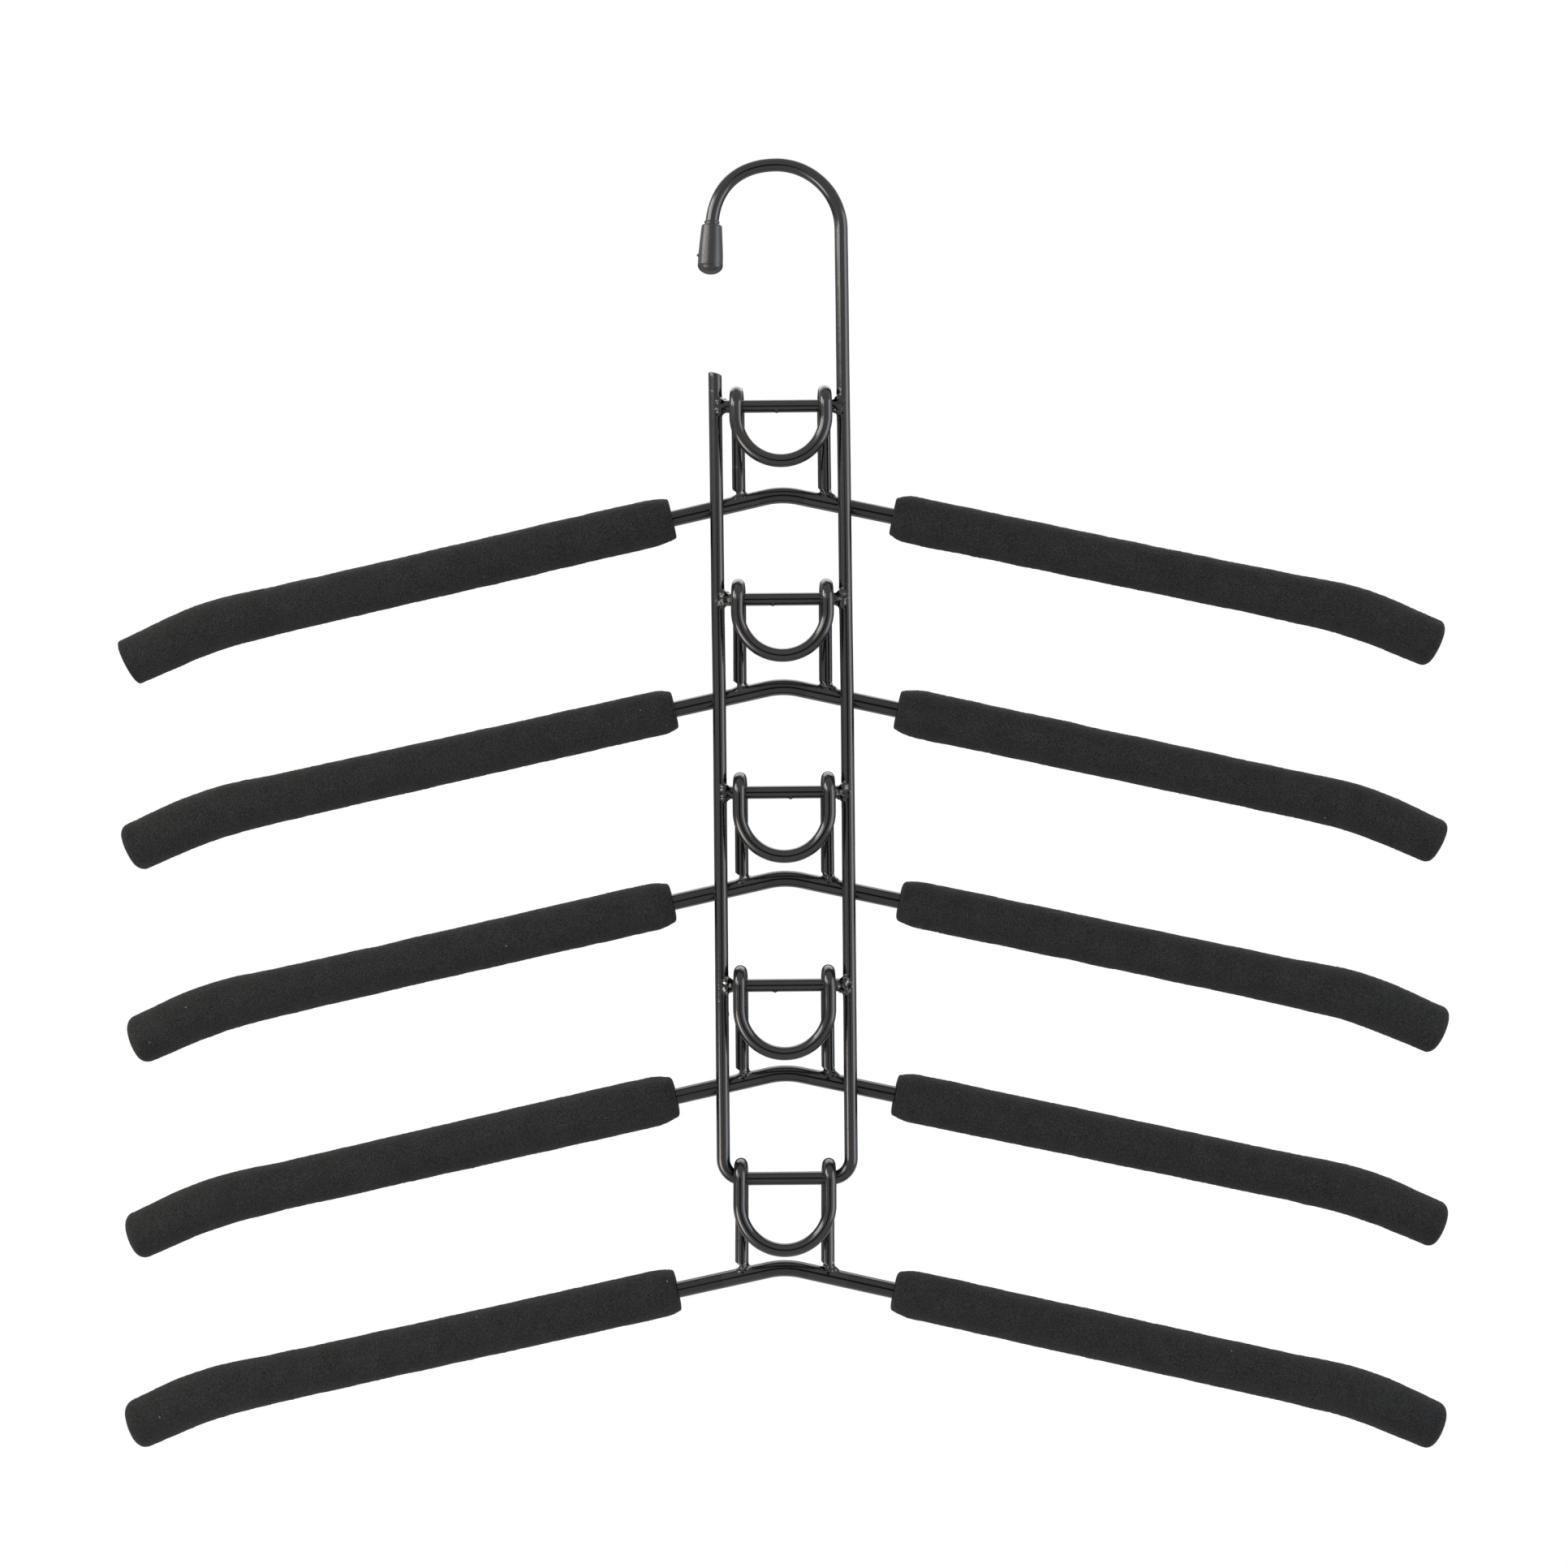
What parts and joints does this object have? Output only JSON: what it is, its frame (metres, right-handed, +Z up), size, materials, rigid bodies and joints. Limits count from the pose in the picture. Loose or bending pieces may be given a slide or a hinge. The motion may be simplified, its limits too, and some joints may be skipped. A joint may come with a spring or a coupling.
{
  "type": "multi-layer clothes hanger",
  "caption": "Space-saving clothes hanger: foam-covered arms in layers, each hung by a double hook on a rung of a ladder-like rod frame with one rail hook.",
  "frame": {"origin": "the inside of the hook's top, where the hanger rests on its rail", "axes": "+Z up, +X to the viewer's right with the hook open to the left, +Y away from the viewer, the side that the arms hang on"},
  "size_m": [0.4172, 0.022, 0.406],
  "materials": {
    "black_enamel": "gloss",
    "cap_rubber": "matte",
    "foam_rubber": "matte"
  },
  "bodies": {
    "frame": {"frame_rod": "black_enamel", "rung_1": "black_enamel", "rung_2": "black_enamel", "rung_3": "black_enamel", "rung_4": "black_enamel", "hook_tip_cap": "cap_rubber"},
    "arm_1": {"double_hook_1": "black_enamel", "arm_wire_1": "black_enamel", "foam_sleeve_left_1": "foam_rubber", "foam_sleeve_right_1": "foam_rubber"},
    "arm_2": {"double_hook_2": "black_enamel", "arm_wire_2": "black_enamel", "foam_sleeve_left_2": "foam_rubber", "foam_sleeve_right_2": "foam_rubber"},
    "arm_3": {"double_hook_3": "black_enamel", "arm_wire_3": "black_enamel", "foam_sleeve_left_3": "foam_rubber", "foam_sleeve_right_3": "foam_rubber"},
    "arm_4": {"double_hook_4": "black_enamel", "arm_wire_4": "black_enamel", "foam_sleeve_left_4": "foam_rubber", "foam_sleeve_right_4": "foam_rubber"},
    "arm_5": {"double_hook_5": "black_enamel", "arm_wire_5": "black_enamel", "foam_sleeve_left_5": "foam_rubber", "foam_sleeve_right_5": "foam_rubber"}
  },
  "joints": [
    {"name": "arm_1_swing", "type": "hinge", "parent": "frame", "child": "arm_1", "pos_m": [0, 0, -0.0741], "axis": [1, 0, 0], "range_deg": [0, 150]},
    {"name": "arm_2_swing", "type": "hinge", "parent": "frame", "child": "arm_2", "pos_m": [0, 0, -0.135], "axis": [1, 0, 0], "range_deg": [0, 130]},
    {"name": "arm_3_swing", "type": "hinge", "parent": "frame", "child": "arm_3", "pos_m": [0, 0, -0.1959], "axis": [1, 0, 0], "range_deg": [0, 130]},
    {"name": "arm_4_swing", "type": "hinge", "parent": "frame", "child": "arm_4", "pos_m": [0, 0, -0.2568], "axis": [1, 0, 0], "range_deg": [0, 130]},
    {"name": "arm_5_swing", "type": "hinge", "parent": "frame", "child": "arm_5", "pos_m": [0, 0, -0.3177], "axis": [1, 0, 0], "range_deg": [-145, 135]}
  ]
}
